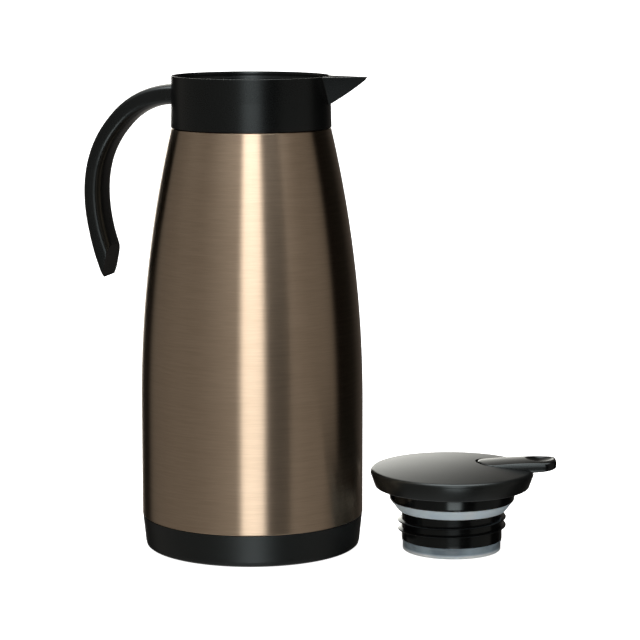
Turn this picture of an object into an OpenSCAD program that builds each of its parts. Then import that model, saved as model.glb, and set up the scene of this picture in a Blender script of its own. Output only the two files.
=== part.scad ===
// Insulated steel jug with a screw-in stopper, shown open: the stopper stands beside the jug.
// The origin is on the jug's axis, on the surface it stands on. +X is the spout, -X the handle, +Z up.
// Stopper parts are drawn upright about their own axis, lever along +X, then set down by on_table().

/* [Jug body] */
// Outer radius of the straight part of the steel shell
body_r = 69; // [68:0.5:71]
// Height where the shell starts to draw in
taper_z = 90; // [80:5:110]
// Outer radius of the shell at its shoulder
shoulder_r = 49.3; // [49:0.1:49.6]
// Height of the shell's shoulder
shoulder_z = 260.9; // [255:0.1:265]
// Wall of the outer shell
shell_t = 0.8; // [0.6:0.1:1]
// Vacuum gap between shell and liner
vacuum_gap = 8; // [7:0.5:9]
// Wall of the liner
liner_t = 0.7; // [0.6:0.1:0.8]

/* [Base] */
// Height of the seam between base cup and shell
seam_z = 20.3; // [19.8:0.1:20.8]
// Outer radius of the base cup at the seam
base_top_r = 68.7; // [68.5:0.1:68.9]
// Inner radius of the rubber foot ring
foot_in_r = 57.5; // [56:0.5:58.5]
// Outer radius of the rubber foot ring
foot_out_r = 62.5; // [61.5:0.5:63]
// Height by which the foot ring lifts the base cup
foot_lift = 0.6; // [0.4:0.1:0.8]

/* [Collar and spout] */
// Outer radius of the collar
collar_r = 49; // [48.8:0.1:49.2]
// Height of the collar, from its lower edge to the rim
collar_h = 31.7; // [31.7:0.1:33]
// Reach of the spout's tip from the jug's axis
spout_reach = 73; // [70:0.1:73.4]
// Half angle that the spout takes up on the rim
spout_half_angle = 13.6; // [11:0.2:15]
// Height of the spout, from its foot on the collar to the rim
spout_h = 17.9; // [16:0.1:19]

/* [Handle] */
// Width of the handle
handle_w = 27; // [25:0.5:29]
// Thickness of the handle where it leaves the collar
handle_root_t = 12.8; // [12:0.1:13.2]
// Thickness of the handle in the grip
handle_grip_t = 11.6; // [11:0.1:12.6]
// Reach of the bend where the handle turns down, from the jug's axis
bend_reach = 84.8; // [84:0.2:86]
// Height of the bend above the table
bend_z = 263.5; // [262:0.5:265]
// Reach of the handle's lower end, from the jug's axis
end_reach = 88.5; // [87:0.5:90]
// Height of the handle's lower end above the table
end_z = 168; // [165:0.5:171]

/* [Stopper] */
// Distance of the stopper's axis from the jug's axis, towards the spout
stand_x = 124.1; // [122:0.1:128]
// Distance of the stopper's axis from the jug's axis, to the side
stand_y = 16.2; // [14:0.1:20]
// Turn of the stopper on the table
stand_turn = 14; // [-20:1:40]
// Outer radius of the plug's lower part
plug_r = 31.2; // [31:0.1:31.3]
// Outer radius of the thread
thread_r = 33.7; // [33.4:0.1:33.8]
// Pitch of the thread
thread_pitch = 5.2; // [5:0.1:5.3]
// Outer radius of the cover at its top edge
cover_r = 50.7; // [50.5:0.1:51.2]
// Height of the cover's lower edge above the plug's bottom
cover_z = 39.9; // [39.9:0.1:40.2]
// Height of the cover's top edge above the plug's bottom
cover_top_z = 51.2; // [51:0.1:51.6]
// Rise of the cover's crown above its edge
crown = 4.6; // [4.2:0.2:5]

/* [Lever and valve] */
// Distance of the lever's hinge pin from the stopper's axis
pin_x = 36; // [35.5:0.1:36.5]
// Height of the hinge pin above the plug's bottom
pin_z = 47.5; // [47.3:0.1:47.7]
// Radius of the hinge pin
pin_r = 1.5; // [1.3:0.1:1.6]
// Distance of the lever's tip from the stopper's axis
lever_tip = 64.4; // [63:0.1:67]
// Half width of the lever
lever_half_w = 11.9; // [11.5:0.1:12]
// Radius of the valve stem
stem_r = 2.5; // [2.3:0.1:2.6]
// Radius of the port in the plug's floor
port_r = 13; // [12:0.5:13.5]
// Coils of the valve spring
spring_turns = 6; // [4:1:7]

/* [Hidden] */

$fn = 96;
eps = 0.01;
// Clearance between neighbouring pieces that only rest on each other
gap = 0.1;
// Radial clearance of a turning or sliding fit
run = 0.06;

// Radius of the arc that the shell's side follows above taper_z
taper_rise = shoulder_z - taper_z;
taper_in = body_r - shoulder_r;
taper_arc = (taper_rise * taper_rise + taper_in * taper_in) / (2 * taper_in);
taper_steps = 14;

// The part of the shell that sits inside the base cup
tuck_r = 65.6;
tuck_z = 8.8;

// Neck, all heights counted from the shoulder
collar_z = shoulder_z + 0.8;
rim_z = collar_z + collar_h;
neck_r = 43.6;
liner_neck_r = 38.1;
lip_z = shoulder_z + 19;
shelf_z = lip_z + 1.4;
shelf_t = 1.7;
flange_z = shelf_z + shelf_t + gap;
flange_t = 1.4;
flange_r = 45.5;
bowl_r = 47.2;

// Height of the plug's bottom when the stopper is screwed home, which the neck insert is cut for
seat_z = shoulder_z - 7.9;
gasket_z = [25.5, 31.6];
gasket_r = [33.8, 38];
seat_clear = 0.4;
// Angle between the stopper's own +X and the jug's when screwed home: the lever lies over the handle
seat_turn = 180;

// Thread ridge of the plug
thread_from = 150;
thread_to = 850;
thread_z0 = 10.4;
thread_steps = 24;
thread_root_r = plug_r - 0.4;

// Screws of the handle
handle_screw_y = 7.5;
handle_screw_z = lip_z - 1.7;

// Inside of the plug
plug_floor_z = 6.9;
plug_floor_t = 2.1;
seal_h = 6.8;
guide_z = 37.9;
guide_t = 2;
guide_r = 36.3;
boss_at_r = 33.4;
guide_screw_turns = [60, 180, 300];
skirt_r = [37.6, 39.3];
window_turns = [158, 202];
window_w = 15.2;
window_h = 3.8;

// Valve
head_z = 9.9;
head_r = 17;
clip_z = 44.2;
fork_z = 42.4;
fork_r = 1.5;
spring_r = 7.4;
spring_wire_r = 0.55;
spring_z = [13.0, guide_z - 0.2];

// Slot for the lever in the cover
slot_clear = 0.6;
slot_floor_z = 47.8;
cheek_y = [11.9, 14];

// Radius of the shell's outer surface at height z
function shell_r(z) =
    z <= taper_z ? body_r : body_r - taper_arc + sqrt(pow(taper_arc, 2) - pow(z - taper_z, 2));

// Points up the shell's side from the taper to height top, moved inwards by inset
function side(top, inset) =
    [
        for (i = [0 : taper_steps])
            let (z = taper_z + (top - taper_z) * i / taper_steps)
            [shell_r(z) - inset, z]
    ];

function reversed(points) = [for (i = [len(points) - 1 : -1 : 0]) points[i]];

// Point of a cubic curve through a and d with handles b and c
function cubic(a, b, c, d, t) =
    pow(1 - t, 3) * a + 3 * pow(1 - t, 2) * t * b + 3 * (1 - t) * pow(t, 2) * c + pow(t, 3) * d;

// Closed skin over rings of equal point counts, with flat ends
module skin(rings) {
    n = len(rings[0]);
    last = len(rings) - 1;
    points = [for (ring = rings) for (p = ring) p];
    sides = [
        for (i = [0 : last - 1]) for (j = [0 : n - 1])
            [i * n + j, i * n + (j + 1) % n, (i + 1) * n + (j + 1) % n, (i + 1) * n + j]
    ];
    low = [[for (j = [n - 1 : -1 : 0]) j]];
    high = [[for (j = [0 : n - 1]) last * n + j]];
    polyhedron(points, concat(sides, low, high), convexity = 6);
}

// Screw with a pan head: the head's seat is at the origin and the shank runs along +Z
module screw(shank_r, length, head_r, head_h) {
    translate([0, 0, -eps])
        cylinder(r = shank_r, h = length + eps);
    translate([0, 0, -head_h])
        cylinder(r = head_r, h = head_h);
}

// Sets a stopper part down on the table beside the jug
module on_table() {
    translate([stand_x, stand_y, 0])
        rotate([0, 0, stand_turn])
            children();
}

// ---- Jug ----

module outer_shell() {
    outside = concat(
        [[tuck_r, tuck_z], [tuck_r, seam_z - 0.4],
        [tuck_r + 0.6, seam_z + 0.2], [body_r - 0.6, seam_z + 0.2]],
        [[body_r, seam_z + 0.8]],
        side(shoulder_z - 0.7, 0),
        [[shoulder_r - 0.4, shoulder_z + 0.1], [shoulder_r - 1.1, shoulder_z + 0.4]],
        [[neck_r + 1.6, shoulder_z + 0.4], [neck_r, shoulder_z + 2],
        [neck_r, lip_z], [liner_neck_r + 0.05, lip_z]]
    );
    inside = concat(
        [[tuck_r - shell_t, tuck_z], [tuck_r - shell_t, seam_z - 0.1], [tuck_r, seam_z + 0.2 + shell_t]],
        [[body_r - 0.6 - shell_t / 2, seam_z + 0.2 + shell_t], [body_r - shell_t, seam_z + 1.5]],
        side(shoulder_z - 0.9, shell_t),
        [[shoulder_r - 1.3, shoulder_z - 0.4], [neck_r + 1.3, shoulder_z - 0.4]],
        [[neck_r - shell_t, shoulder_z + 1.7], [neck_r - shell_t, lip_z - shell_t]],
        [[liner_neck_r + 0.05, lip_z - shell_t]]
    );
    color("#6f6050")
        rotate_extrude()
            polygon(concat(outside, reversed(inside)));
}

module shell_bottom() {
    r = tuck_r - shell_t - 0.05;
    color("#8d8a85")
        rotate_extrude()
            polygon([
                [1.5, tuck_z + 0.2], [r - 1, tuck_z + 0.2], [r, tuck_z + 1.2], [r, tuck_z + 6],
                [r - shell_t, tuck_z + 6], [r - shell_t, tuck_z + 1.6],
                [r - 1.4, tuck_z + 1], [1.5, tuck_z + 1]
            ]);
}

module vacuum_plug() {
    color("#9a9a98")
        rotate_extrude()
            polygon([
                [0, tuck_z + 1.8], [1.4, tuck_z + 1.8], [1.4, tuck_z + 0.1], [5, tuck_z + 0.1],
                [4.4, tuck_z - 1.1], [2.5, tuck_z - 1.8], [0, tuck_z - 2]
            ]);
}

module getter() {
    color("#77736c")
        translate([28, 0, tuck_z + 1.1])
            difference() {
                cylinder(r = 6, h = 2.4, $fn = 48);
                translate([0, 0, 1])
                    cylinder(r = 5.2, h = 2, $fn = 48);
            }
}

module inner_liner() {
    inset = shell_t + vacuum_gap;
    r = body_r - inset;
    floor_z = 19.5;
    bend = 12;
    outside = concat(
        [[0, floor_z]],
        [for (a = [-90 : 15 : 0]) [r - bend + bend * cos(a), floor_z + bend + bend * sin(a)]],
        side(shoulder_z - 10.9, inset),
        [[liner_neck_r + 3.8, shoulder_z - 7.5], [liner_neck_r + 2.1, shoulder_z - 5.2]],
        [[liner_neck_r, shoulder_z - 3.9], [liner_neck_r, lip_z]]
    );
    wall_r = liner_neck_r - liner_t;
    inside = concat(
        [[0, floor_z + liner_t]],
        [for (a = [-90 : 15 : 0])
            [r - bend + (bend - liner_t) * cos(a), floor_z + bend + (bend - liner_t) * sin(a)]],
        side(shoulder_z - 10.9, inset + liner_t),
        [[wall_r + 3.8, shoulder_z - 7.8], [wall_r + 2.2, shoulder_z - 5.7]],
        [[wall_r, shoulder_z - 4.5], [wall_r, lip_z]]
    );
    color("#b9b7b2")
        rotate_extrude()
            polygon(concat(outside, reversed(inside)));
}

module base_cup() {
    wall_r = tuck_r + 0.15;
    z0 = foot_lift;
    color("#1d1d1e")
        rotate_extrude()
            polygon([
                [0, 2.2], [foot_in_r - 3, 2.2], [foot_in_r - 1.5, z0], [foot_in_r - 0.2, z0],
                [foot_in_r - 0.2, 1.9], [foot_out_r + 0.2, 1.9], [foot_out_r + 0.2, z0],
                [65.2, z0], [66.5, 1.6], [67, 3.6], [67.5, 8.4], [68.05, 13.5],
                [base_top_r, seam_z - 0.4], [base_top_r - 0.3, seam_z],
                [wall_r + 0.9, seam_z], [wall_r, seam_z - 0.8], [wall_r, 7.6], [wall_r - 3.2, 4.4], [0, 4.4]
            ]);
}

module foot_ring() {
    color("#2a2a2b")
        rotate_extrude()
            polygon([
                [foot_in_r, 1.8], [foot_in_r, 0.4], [foot_in_r + 0.4, 0],
                [foot_out_r - 0.4, 0], [foot_out_r, 0.4], [foot_out_r, 1.8]
            ]);
}

// Solid of the spout, from inside the collar's wall to the tip
module spout_solid() {
    base = collar_r - 1;
    foot_z = rim_z - spout_h;
    keel_belly = 0.9;
    hull() {
        for (side = [-1, 1])
            rotate([0, 0, side * spout_half_angle])
                translate([base, 0, rim_z - 1])
                    cylinder(r = 0.6, h = 1, $fn = 16);
        translate([base - 0.4, 0, foot_z])
            cylinder(r = 0.6, h = 1, $fn = 16);
        translate([(base + spout_reach) / 2 + keel_belly, 0, rim_z - spout_h / 2])
            cylinder(r = 0.6, h = 1, $fn = 16);
        translate([spout_reach - 1.1, 0, rim_z - 1.7])
            cylinder(r1 = 0.6, r2 = 1.1, h = 1.7, $fn = 24);
    }
}

// Hollow of the spout, open above, with a floor level with the pouring shelf
module spout_channel() {
    base = collar_r - 4;
    foot_z = rim_z - spout_h + 1.2;
    floor_z = shelf_z + shelf_t;
    intersection() {
        hull() {
            for (side = [-1, 1])
                rotate([0, 0, side * (spout_half_angle - 2.2)])
                    translate([base, 0, rim_z - 0.6])
                        cylinder(r = 0.5, h = 6, $fn = 16);
            translate([base, 0, foot_z])
                cylinder(r = 0.5, h = 6, $fn = 16);
            translate([spout_reach - 3.4, 0, rim_z - 0.6])
                cylinder(r = 0.7, h = 6, $fn = 24);
        }
        translate([0, -20, floor_z])
            cube([90, 40, 30]);
    }
}

module collar() {
    color("#1c1c1d")
        difference() {
            union() {
                difference() {
                    union() {
                        rotate_extrude()
                            polygon([
                                [collar_r + 0.2, collar_z], [collar_r + 0.4, collar_z + 0.5],
                                [collar_r, collar_z + 7],
                                [collar_r, rim_z - 0.5], [collar_r - 0.4, rim_z],
                                [collar_r - 0.5, rim_z], [collar_r - 1, rim_z - 0.6],
                                [collar_r - 1, rim_z - 3],
                                [bowl_r, rim_z - 4.5], [bowl_r, collar_z + 1], [bowl_r + 0.4, collar_z]
                            ]);
                        spout_solid();
                    }
                    // The bowl above the shelf and the room for the neck below it
                    translate([0, 0, collar_z - 1])
                        cylinder(r = bowl_r, h = collar_h - 2);
                }
                // Pouring shelf, which lies on the neck
                rotate_extrude()
                    polygon([
                        [40.4, shelf_z], [bowl_r + 0.5, shelf_z], [bowl_r + 0.5, shelf_z + shelf_t],
                        [40.4, shelf_z + shelf_t]
                    ]);
                // Flat pad inside, for the heads of the handle's screws
                intersection() {
                    translate([-bowl_r - 0.5, -11, handle_screw_z - 5])
                        cube([1.7, 22, 10 - (handle_screw_z + 5 - shelf_z) + 0.5]);
                    translate([0, 0, collar_z])
                        cylinder(r = bowl_r + 0.5, h = collar_h);
                }
            }
            spout_channel();
            for (side = [-1, 1])
                translate([-collar_r - 1, side * handle_screw_y, handle_screw_z])
                    rotate([0, 90, 0])
                        cylinder(r = 1.7, h = 6, $fn = 32);
        }
}

module neck_gasket() {
    color("#c8ccd0")
        rotate_extrude()
            polygon([
                [40.2, lip_z + 0.05], [neck_r - 0.2, lip_z + 0.05], [neck_r - 0.2, shelf_z - 0.05],
                [40.2, shelf_z - 0.05]
            ]);
}

// Ridge of a helix about the Z axis, tapered away at both ends
module ridge(from, to, z0, pitch, root_r, crest_r, root_half, crest_half) {
    count = ceil((to - from) / 360 * thread_steps);
    run_in = 25;
    skin([
        for (i = [0 : count])
            let (a = from + (to - from) * i / count)
            let (fade = min(1, (a - from) / run_in + 0.15, (to - a) / run_in + 0.15))
            let (z = z0 + pitch * a / 360)
            let (crest = root_r + (crest_r - root_r) * fade)
            let (up = crest_r > root_r ? 1 : -1)
            [
                for (p = [
                    [root_r, -root_half], [crest, -crest_half],
                    [crest, crest_half], [root_r, root_half]
                ])
                    [p[0] * cos(a), p[0] * sin(a), z + up * p[1]]
            ]
    ]);
}

module neck_insert() {
    bore_r = thread_r + 0.5;
    throat_r = 30.9;
    out_r = liner_neck_r - liner_t - 0.3;
    top_z = flange_z + flange_t;
    low_z = seat_z - 0.2;
    // The plug's thread, screwed home, passes half a pitch from this ridge
    mesh_z = seat_z + thread_z0 + thread_pitch / 2 - thread_pitch * seat_turn / 360;
    color("#232324")
        union() {
            rotate_extrude()
                polygon([
                    [throat_r, low_z], [out_r - 0.6, low_z], [liner_neck_r, low_z + 1.2],
                    [liner_neck_r, low_z + 1.8], [out_r, low_z + 1.9],
                    [out_r, lip_z + 0.15], [40, lip_z + 0.15], [40, flange_z], [flange_r, flange_z],
                    [flange_r, top_z - 0.3], [flange_r - 0.4, top_z], [gasket_r[1] + seat_clear, top_z],
                    [bore_r, seat_z + gasket_z[0]], [bore_r, seat_z + 7.5], [throat_r, seat_z + 5.5]
                ]);
            ridge(180, 720, mesh_z, thread_pitch, bore_r + 0.4, plug_r + 0.6, 1.1, 0.4);
        }
}

// Corner radius of the handle's lower end, and where the sections that follow it lie
end_corner_r = 5;
end_steps = [0.964, 0.982, 0.993, 1];

// Centre line of the handle in its upright plane: distance out from the axis, height
function handle_line(steps) =
    let (root = [bowl_r - 1.2, rim_z - 11.8])
    let (bend = [bend_reach, bend_z])
    let (end = [end_reach, end_z])
    concat(
        [for (i = [0 : steps - 1]) cubic(root, root + [13, 0], bend + [-11.3, 14], bend, i / steps)],
        [
            for (t = concat([for (i = [0 : steps - 1]) i / steps], end_steps))
                cubic(bend, bend + [18.7, -21.5], end + [17.5, 43], end, t)
        ]
    );

// Rounded oblong cross-section of the handle
function oblong(half_t, half_w) = [
    for (a = [0 : 15 : 345])
        let (c = cos(a))
        let (s = sin(a))
        [sign(c) * pow(abs(c), 0.66) * half_t, sign(s) * pow(abs(s), 0.66) * half_w]
];

module handle() {
    // The lower end is cut at a slant, facing the jug
    cut_tilt = 78.5;
    cut_at = [-end_reach - 4.8, -20, end_z - 1.2];
    line = handle_line(13);
    n = len(line) - 1;
    rings = [
        for (i = [0 : n])
            let (along = line[min(i + 1, n)] - line[max(i - 1, 0)])
            let (d = along / norm(along))
            let (half_t = (handle_grip_t + (handle_root_t - handle_grip_t) * max(0, 1 - 2 * i / n)) / 2)
            // The corners of the lower end are rounded
            let (short = max(0, 1 - norm(line[n] - line[i]) / end_corner_r))
            let (half_w = handle_w / 2 - end_corner_r * (1 - sqrt(1 - short * short)))
            [for (p = oblong(half_t, half_w)) [-line[i][0] - p[0] * d[1], p[1], line[i][1] - p[0] * d[0]]]
    ];
    color("#1b1b1c")
        difference() {
            skin(rings);
            // Saddle on the collar
            translate([0, 0, collar_z])
                cylinder(r = collar_r + 0.05, h = collar_h);
            translate(cut_at)
                rotate([0, -cut_tilt, 0])
                    translate([-60, 0, -60])
                        cube([120, 40, 60]);
            for (side = [-1, 1])
                translate([-collar_r - 14, side * handle_screw_y, handle_screw_z])
                    rotate([0, 90, 0])
                        cylinder(r = 1.55, h = 20, $fn = 32);
        }
}

module handle_screws() {
    color("#a8a8a6")
        for (side = [-1, 1])
            translate([-bowl_r + 1.2, side * handle_screw_y, handle_screw_z])
                rotate([0, -90, 0])
                    screw(1.5, 15, 2.8, 1.5, $fn = 32);
}

// ---- Stopper ----

module plug_body() {
    color("#161617")
        on_table()
            union() {
                difference() {
                    union() {
                        rotate_extrude()
                            polygon([
                                [port_r, plug_floor_z], [plug_r - 0.4, plug_floor_z],
                                [plug_r, plug_floor_z + 0.4],
                                [plug_r, gasket_z[0] - 0.4], [31.6, gasket_z[0] - 0.2],
                                [35.8, gasket_z[1] - 0.1],
                                [36, gasket_z[1] + 0.1], [38.6, gasket_z[1] + 0.1],
                                [39.4, cover_z], [guide_r + 0.3, cover_z], [guide_r + 0.3, guide_z - 0.1],
                                [35.4, guide_z - 0.1], [35.4, gasket_z[1] + 1.6], [29.6, gasket_z[0] + 0.1],
                                [28.6, gasket_z[0] - 0.9], [28.6, plug_floor_z + plug_floor_t],
                                [port_r, plug_floor_z + plug_floor_t]
                            ]);
                        // Bosses for the guide plate's screws
                        for (a = guide_screw_turns)
                            rotate([0, 0, a])
                                translate([boss_at_r, 0, 33])
                                    cylinder(r = 2.6, h = guide_z - 0.1 - 33, $fn = 32);
                    }
                    for (a = guide_screw_turns)
                        rotate([0, 0, a])
                            translate([boss_at_r, 0, 33.6])
                                cylinder(r = 1.05, h = 8, $fn = 32);
                    // Pouring windows, on the side away from the lever
                    for (a = window_turns)
                        rotate([0, 0, a])
                            translate([30, -window_w / 2, 33.4])
                                cube([14, window_w, window_h]);
                }
                ridge(thread_from, thread_to, thread_z0, thread_pitch, thread_root_r, thread_r, 1.2, 0.35);
            }
}

module plug_gasket() {
    color("#c9d3de")
        on_table()
            rotate_extrude()
                polygon([
                    [31.8, gasket_z[0] - 0.1], [gasket_r[0] - 0.3, gasket_z[0] - 0.1],
                    [gasket_r[0], gasket_z[0] + 0.2], [gasket_r[1], gasket_z[1] - 0.4],
                    [gasket_r[1] - 0.2, gasket_z[1]], [36.1, gasket_z[1]]
                ]);
}

module bottom_seal() {
    color("#c4d0de")
        on_table()
            rotate_extrude()
                polygon([
                    [26.8, 0.5], [27.3, 0], [30, 0], [30.5, 0.5], [30.5, 5.4], [31, 6], [31, seal_h],
                    [22, seal_h], [22, 4.8], [26.8, 4.8]
                ]);
}

module guide_plate() {
    color("#2b2b2d")
        on_table()
            difference() {
                translate([0, 0, guide_z])
                    cylinder(r = guide_r, h = guide_t);
                translate([0, 0, guide_z - 1])
                    cylinder(r = stem_r + run, h = guide_t + 2, $fn = 48);
                // Gland of the stem's O-ring
                translate([0, 0, guide_z + 0.6])
                    cylinder(r = stem_r + 1.4, h = guide_t, $fn = 48);
                for (a = guide_screw_turns)
                    rotate([0, 0, a])
                        translate([boss_at_r, 0, guide_z - 1])
                            cylinder(r = 1.25, h = guide_t + 2, $fn = 32);
            }
}

module guide_screws() {
    color("#b0b0ae")
        on_table()
            for (a = guide_screw_turns)
                rotate([0, 0, a])
                    translate([boss_at_r, 0, guide_z + guide_t])
                        rotate([180, 0, 0])
                            screw(1, 5.5, 2.1, 1.2, $fn = 32);
}

module stem_oring() {
    color("#303032")
        on_table()
            translate([0, 0, guide_z + 1.3])
                rotate_extrude()
                    translate([stem_r + 0.75, 0])
                        circle(r = 0.6, $fn = 24);
}

// Plan outline of the lever's visible part, widened all round by grow
module lever_outline(grow) {
    nose_x = 25.5;
    nose_reach = 10 + 2 * grow;
    corner = 8;
    end_x = lever_tip + grow;
    half = lever_half_w + grow;
    upper = [for (a = [90 : -10 : 0]) [end_x - corner + corner * cos(a), half - corner + corner * sin(a)]];
    nose = [for (a = [-90 : -10 : -270]) [nose_x + nose_reach * cos(a), half * sin(a)]];
    polygon(concat(nose, upper, [for (p = reversed(upper)) [p[0], -p[1]]]));
}

// Prism of a side view given as [x, z] points, half_w wide to each side
module side_view(half_w, points) {
    rotate([90, 0, 0])
        linear_extrude(height = 2 * half_w, center = true)
            polygon(points);
}

module stopper_cover() {
    dome_steps = 9;
    wall = 2.2;
    edge_round = 2.6;
    lean = atan(2 * crown / cover_r);
    edge_r = cover_r - edge_round * (1 - sin(lean));
    edge_z = cover_top_z - edge_round * cos(lean);
    low_r = 47.8;
    edge = [
        for (a = [0 : (90 - lean) / 6 : 89 - lean])
            [cover_r - edge_round * (1 - cos(a)), edge_z + edge_round * sin(a)]
    ];
    top = [
        for (i = [0 : dome_steps])
            let (r = edge_r * (1 - i / dome_steps))
            [r, cover_top_z + crown * (1 - pow(r / edge_r, 2))]
    ];
    under = [
        for (i = [0 : dome_steps])
            let (r = (edge_r - wall) * i / dome_steps)
            [r, cover_top_z - wall + crown * (1 - pow(r / edge_r, 2))]
    ];
    color("#3a3a3b")
        on_table()
            difference() {
                union() {
                    rotate_extrude()
                        polygon(concat(
                            [[low_r - wall, cover_z], [low_r - 0.3, cover_z], [low_r, cover_z + 0.4]],
                            edge, top, under
                        ));
                    // Skirt that stands on the plug
                    difference() {
                        translate([0, 0, cover_z + 0.05])
                            cylinder(r = skirt_r[1], h = cover_top_z - wall - cover_z + 2.6);
                        translate([0, 0, cover_z - 1])
                            cylinder(r = skirt_r[0], h = 20);
                    }
                    // Cheeks that hold the hinge pin, and the floor under the lever
                    intersection() {
                        union() {
                            for (side = [-1, 1])
                                translate([29, side * (cheek_y[0] + cheek_y[1]) / 2 - 1.05, cover_z + 1])
                                    cube([14, cheek_y[1] - cheek_y[0], 12]);
                            translate([41.6, -cheek_y[1], slot_floor_z - 2])
                                cube([11, 2 * cheek_y[1], 6]);
                        }
                        rotate_extrude()
                            polygon([
                                [0, cover_z], [low_r - 0.5, cover_z], [cover_r - 0.6, edge_z],
                                [edge_r, cover_top_z - 0.6], [0, cover_top_z + crown - 0.8]
                            ]);
                    }
                }
                translate([0, 0, slot_floor_z])
                    linear_extrude(height = 10)
                        lever_outline(slot_clear);
                // Room for the hinge boss and the lever's inner arm
                translate([30, -cheek_y[0] + 0.3, cover_z - 1])
                    cube([12.7, 2 * cheek_y[0] - 0.6, 20]);
                translate([pin_x, 0, pin_z])
                    rotate([90, 0, 0])
                        cylinder(r = pin_r + 0.02, h = 40, center = true, $fn = 48);
            }
}

module lever_pin() {
    color("#b4b4b2")
        on_table()
            translate([pin_x, 0, pin_z])
                rotate([90, 0, 0])
                    cylinder(r = pin_r, h = 2 * cheek_y[1] - 0.2, center = true, $fn = 48);
}

module thumb_lever() {
    boss_half = cheek_y[0] - 0.5;
    color("#18181a")
        on_table()
            difference() {
                union() {
                    // Visible tongue
                    intersection() {
                        translate([0, 0, 44])
                            linear_extrude(height = 20)
                                lever_outline(0);
                        side_view(15, [
                            [14, 55.3], [22, 56.1], [30, 56.8], [40, 57.3], [50, 57.6], [58, 57.6],
                            [62.5, 57.2], [lever_tip + 0.1, 55.8], [lever_tip + 0.1, 52.8], [62.5, 51.6],
                            [56, 50.8], [48, 50.4], [42, 49.6], [24, 49.6], [14, 51.2]
                        ]);
                    }
                    // Hinge boss
                    translate([pin_x, 0, pin_z])
                        rotate([90, 0, 0])
                            cylinder(r = 4.2, h = 2 * boss_half, center = true, $fn = 48);
                    // Inner arm with the fork that lifts the stem
                    side_view(6.5, [
                        [38, 50.5], [28, 49.9], [20, 44.9], [2, 43.1], [0, 43.1], [0, 41.7], [2, 41.2],
                        [20, 41.2], [31, 44.2], [38, 44.2]
                    ]);
                    translate([0, 0, fork_z])
                        rotate([90, 0, 0])
                            cylinder(r = fork_r, h = 13, center = true, $fn = 32);
                }
                // Slot of the fork
                translate([-10, -stem_r - 0.7, 38])
                    cube([14.6, 2 * stem_r + 1.4, 10]);
                translate([pin_x, 0, pin_z])
                    rotate([90, 0, 0])
                        cylinder(r = pin_r + run, h = 40, center = true, $fn = 48);
                // Hollow for the thumb
                translate([54.5, 0, 69.7])
                    sphere(r = 15, $fn = 64);
            }
}

// ---- Valve ----

module valve_stem() {
    color("#c2c2c0")
        on_table()
            translate([0, 0, head_z])
                cylinder(r = stem_r, h = 46 - head_z, $fn = 48);
}

module valve_head() {
    bore_r = stem_r + 0.03;
    color("#29292b")
        on_table()
            rotate_extrude()
                polygon([
                    [bore_r, head_z], [head_r - 0.5, head_z], [head_r, head_z + 0.5], [head_r, head_z + 1.8],
                    [head_r - 1, head_z + 2.6], [5.4, head_z + 2.9],
                    [5, head_z + 6.5], [bore_r, head_z + 6.5]
                ]);
}

module valve_seal() {
    color("#c4d0de")
        on_table()
            rotate_extrude()
                polygon([
                    [port_r + 0.8, head_z - 0.05], [port_r + 1.2, plug_floor_z + plug_floor_t + gap],
                    [head_r - 0.6, plug_floor_z + plug_floor_t + gap], [head_r - 0.4, head_z - 0.05]
                ]);
}

module stem_clip() {
    color("#8f8f8d")
        on_table()
            translate([0, 0, clip_z])
                difference() {
                    cylinder(r = 5.2, h = 1.2, $fn = 48);
                    translate([0, 0, -1])
                        cylinder(r = stem_r + 0.03, h = 4, $fn = 48);
                }
}

module valve_spring() {
    steps = 20;
    count = spring_turns * steps;
    rise = spring_z[1] - spring_z[0] - 2 * spring_wire_r;
    color("#bdbdbb")
        on_table()
            skin([
                for (i = [0 : count])
                    let (a = 360 * i / steps)
                    let (z = spring_z[0] + spring_wire_r + rise * i / count)
                    [
                        for (b = [0 : 45 : 315])
                            let (r = spring_r + spring_wire_r * cos(b))
                            [r * cos(a), r * sin(a), z + spring_wire_r * sin(b)]
                    ]
            ]);
}

outer_shell();
shell_bottom();
inner_liner();
getter();
vacuum_plug();
base_cup();
foot_ring();
collar();
neck_gasket();
neck_insert();
handle();
handle_screws();
plug_body();
plug_gasket();
bottom_seal();
guide_plate();
guide_screws();
stem_oring();
stopper_cover();
lever_pin();
thumb_lever();
valve_stem();
valve_head();
valve_seal();
stem_clip();
valve_spring();
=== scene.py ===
import math

import bmesh
import bpy
import numpy as np
from mathutils import Matrix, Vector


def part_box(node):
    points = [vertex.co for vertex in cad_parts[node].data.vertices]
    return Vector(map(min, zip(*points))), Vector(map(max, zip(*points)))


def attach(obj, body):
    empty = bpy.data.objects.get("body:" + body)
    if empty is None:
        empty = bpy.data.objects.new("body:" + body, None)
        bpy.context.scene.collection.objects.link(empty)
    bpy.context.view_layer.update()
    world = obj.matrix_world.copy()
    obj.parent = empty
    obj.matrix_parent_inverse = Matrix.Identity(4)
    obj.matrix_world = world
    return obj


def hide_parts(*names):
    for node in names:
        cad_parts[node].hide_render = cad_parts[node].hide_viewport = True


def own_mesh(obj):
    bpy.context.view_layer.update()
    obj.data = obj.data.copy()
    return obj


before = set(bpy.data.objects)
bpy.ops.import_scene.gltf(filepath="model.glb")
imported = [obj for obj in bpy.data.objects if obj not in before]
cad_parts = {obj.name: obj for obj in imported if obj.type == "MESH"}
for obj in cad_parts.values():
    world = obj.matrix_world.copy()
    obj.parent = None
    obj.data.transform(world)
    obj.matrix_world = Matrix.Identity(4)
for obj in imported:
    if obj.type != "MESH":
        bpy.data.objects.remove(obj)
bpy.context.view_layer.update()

# Lengths below are in millimetres in the CAD frame, and MM turns them into metres.
MM = 0.001

# ---------------------------------------------------------------- dimensions

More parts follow.
